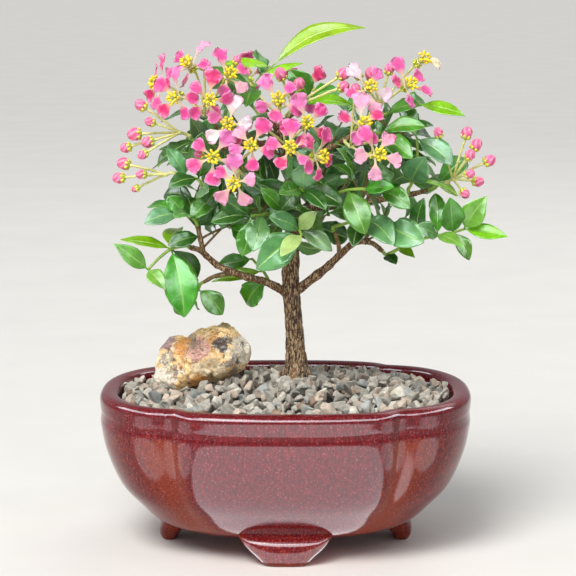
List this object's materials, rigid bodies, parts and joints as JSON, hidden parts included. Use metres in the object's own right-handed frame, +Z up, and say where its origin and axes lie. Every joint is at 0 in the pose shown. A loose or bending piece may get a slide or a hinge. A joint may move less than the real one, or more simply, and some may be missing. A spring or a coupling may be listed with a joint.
{
  "type": "barbados cherry bonsai",
  "caption": "Flowering Barbados cherry bonsai with pink clawed blooms in a glazed oxblood four-lobed pot on feet, top-dressed with gravel and a rock.",
  "frame": {"origin": "under the middle of the whole plant's box, in the plane of the pot's four soles", "axes": "+Z up the trunk, +X to the right in the front view, -Y out of the front"},
  "size_m": [0.1796, 0.13, 0.2323],
  "materials": {
    "glaze": "gloss",
    "screen": "matte",
    "soil": "matte",
    "gravel": "matte",
    "rock": "matte",
    "bark": "matte",
    "leaf": "satin",
    "stem": "satin",
    "petal": "matte"
  },
  "bodies": {
    "root": {"pot": "glaze", "drain_screen": "screen", "soil": "soil", "gravel": "gravel", "rock": "rock", "wood": "bark", "left_low": "leaf", "left_under": "leaf", "trunk_left": "leaf", "left_mid_leaves": "leaf", "left_high_leaves": "leaf", "upper_left_leaves": "leaf", "front_left_leaves": "leaf", "front_low_leaves": "leaf", "front_mid_leaves": "leaf", "right_front_leaves": "leaf", "right_centre_leaves": "leaf", "far_right_leaves": "leaf", "right_edge_leaves": "leaf", "right_tip_leaves": "leaf", "upper_right_leaves": "leaf", "top_right_leaves": "leaf", "top_leaves": "leaf", "leader_leaves": "leaf", "back_low_leaves": "leaf", "back_left_leaves": "leaf", "back_right_leaves": "leaf", "back_top_leaves": "leaf", "inner_left_leaves": "leaf", "inner_right_leaves": "leaf", "upper_left_stems": "stem", "left_stems": "stem", "left_low_stems": "stem", "front_left_stems": "stem", "front_stems": "stem", "right_front_stems": "stem", "top_stems": "stem", "upper_right_stems": "stem", "right_stems": "stem", "back_stems": "stem", "bloom_a": "petal", "bloom_b": "petal", "bloom_e": "petal", "bloom_f": "petal", "bloom_c": "petal", "bloom_d": "petal", "bloom_g": "petal", "bloom_h": "petal", "bloom_i": "petal", "bloom_j": "petal", "bloom_k": "petal", "bloom_l": "petal", "bloom_m": "petal", "bloom_n": "petal", "bloom_o": "petal", "bloom_p": "petal", "bloom_q": "petal", "bloom_r": "petal", "bloom_s": "petal", "bloom_t": "petal"}
  },
  "joints": []
}
